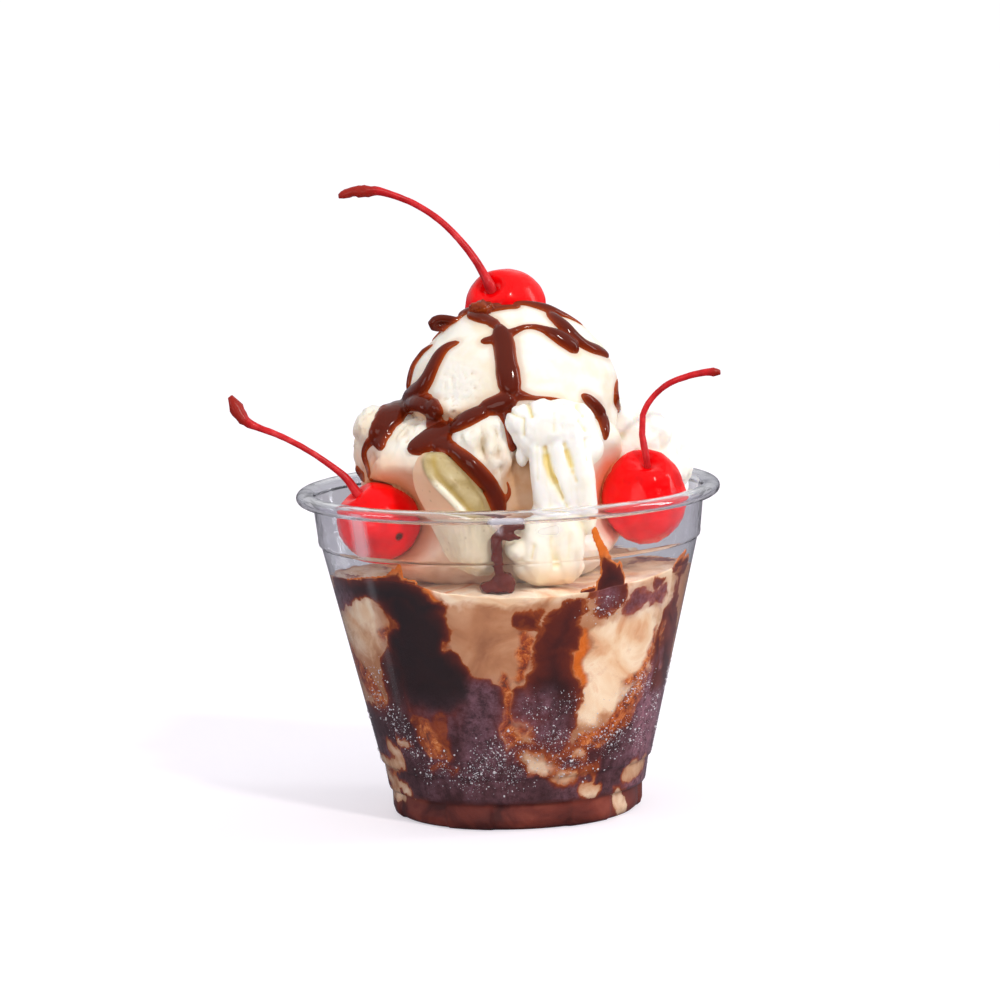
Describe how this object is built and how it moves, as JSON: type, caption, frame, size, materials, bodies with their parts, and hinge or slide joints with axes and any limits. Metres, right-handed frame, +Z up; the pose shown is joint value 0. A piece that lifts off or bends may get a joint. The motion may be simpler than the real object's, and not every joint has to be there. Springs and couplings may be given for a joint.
{
  "type": "ice cream sundae",
  "caption": "Ice cream sundae in a clear dessert cup: scoops with chocolate drizzle, whipped cream, banana and stemmed cherries over syrup-marbled ice cream.",
  "frame": {"origin": "middle of the cup's flat base, where it stands on the table", "axes": "+Z up through the cup and the scoops, -Y towards the front, +X to the right as seen from the front"},
  "size_m": [0.1063, 0.092, 0.1373],
  "materials": {
    "clear_pet": "clear, glossy",
    "fudge": "wet, glossy",
    "melted_ice_cream": "soft, marbled with syrup",
    "vanilla_ice_cream_low": "soft, with glossy syrup strands",
    "vanilla_ice_cream": "soft, with glossy syrup strands",
    "banana": "moist",
    "whipped_cream": "soft",
    "whipped_cream_back": "soft",
    "maraschino_cherry": "glossy",
    "maraschino_cherry_left": "glossy",
    "maraschino_cherry_right": "glossy"
  },
  "bodies": {
    "root": {"cup": "clear_pet", "fudge_layer": "fudge", "ice_cream_filling": "melted_ice_cream", "lower_scoop": "vanilla_ice_cream_low", "top_scoop": "vanilla_ice_cream", "banana_piece": "banana", "front_whipped_cream": "whipped_cream", "back_whipped_cream": "whipped_cream_back", "top_cherry": "maraschino_cherry", "left_cherry": "maraschino_cherry_left", "right_cherry": "maraschino_cherry_right"}
  },
  "joints": []
}
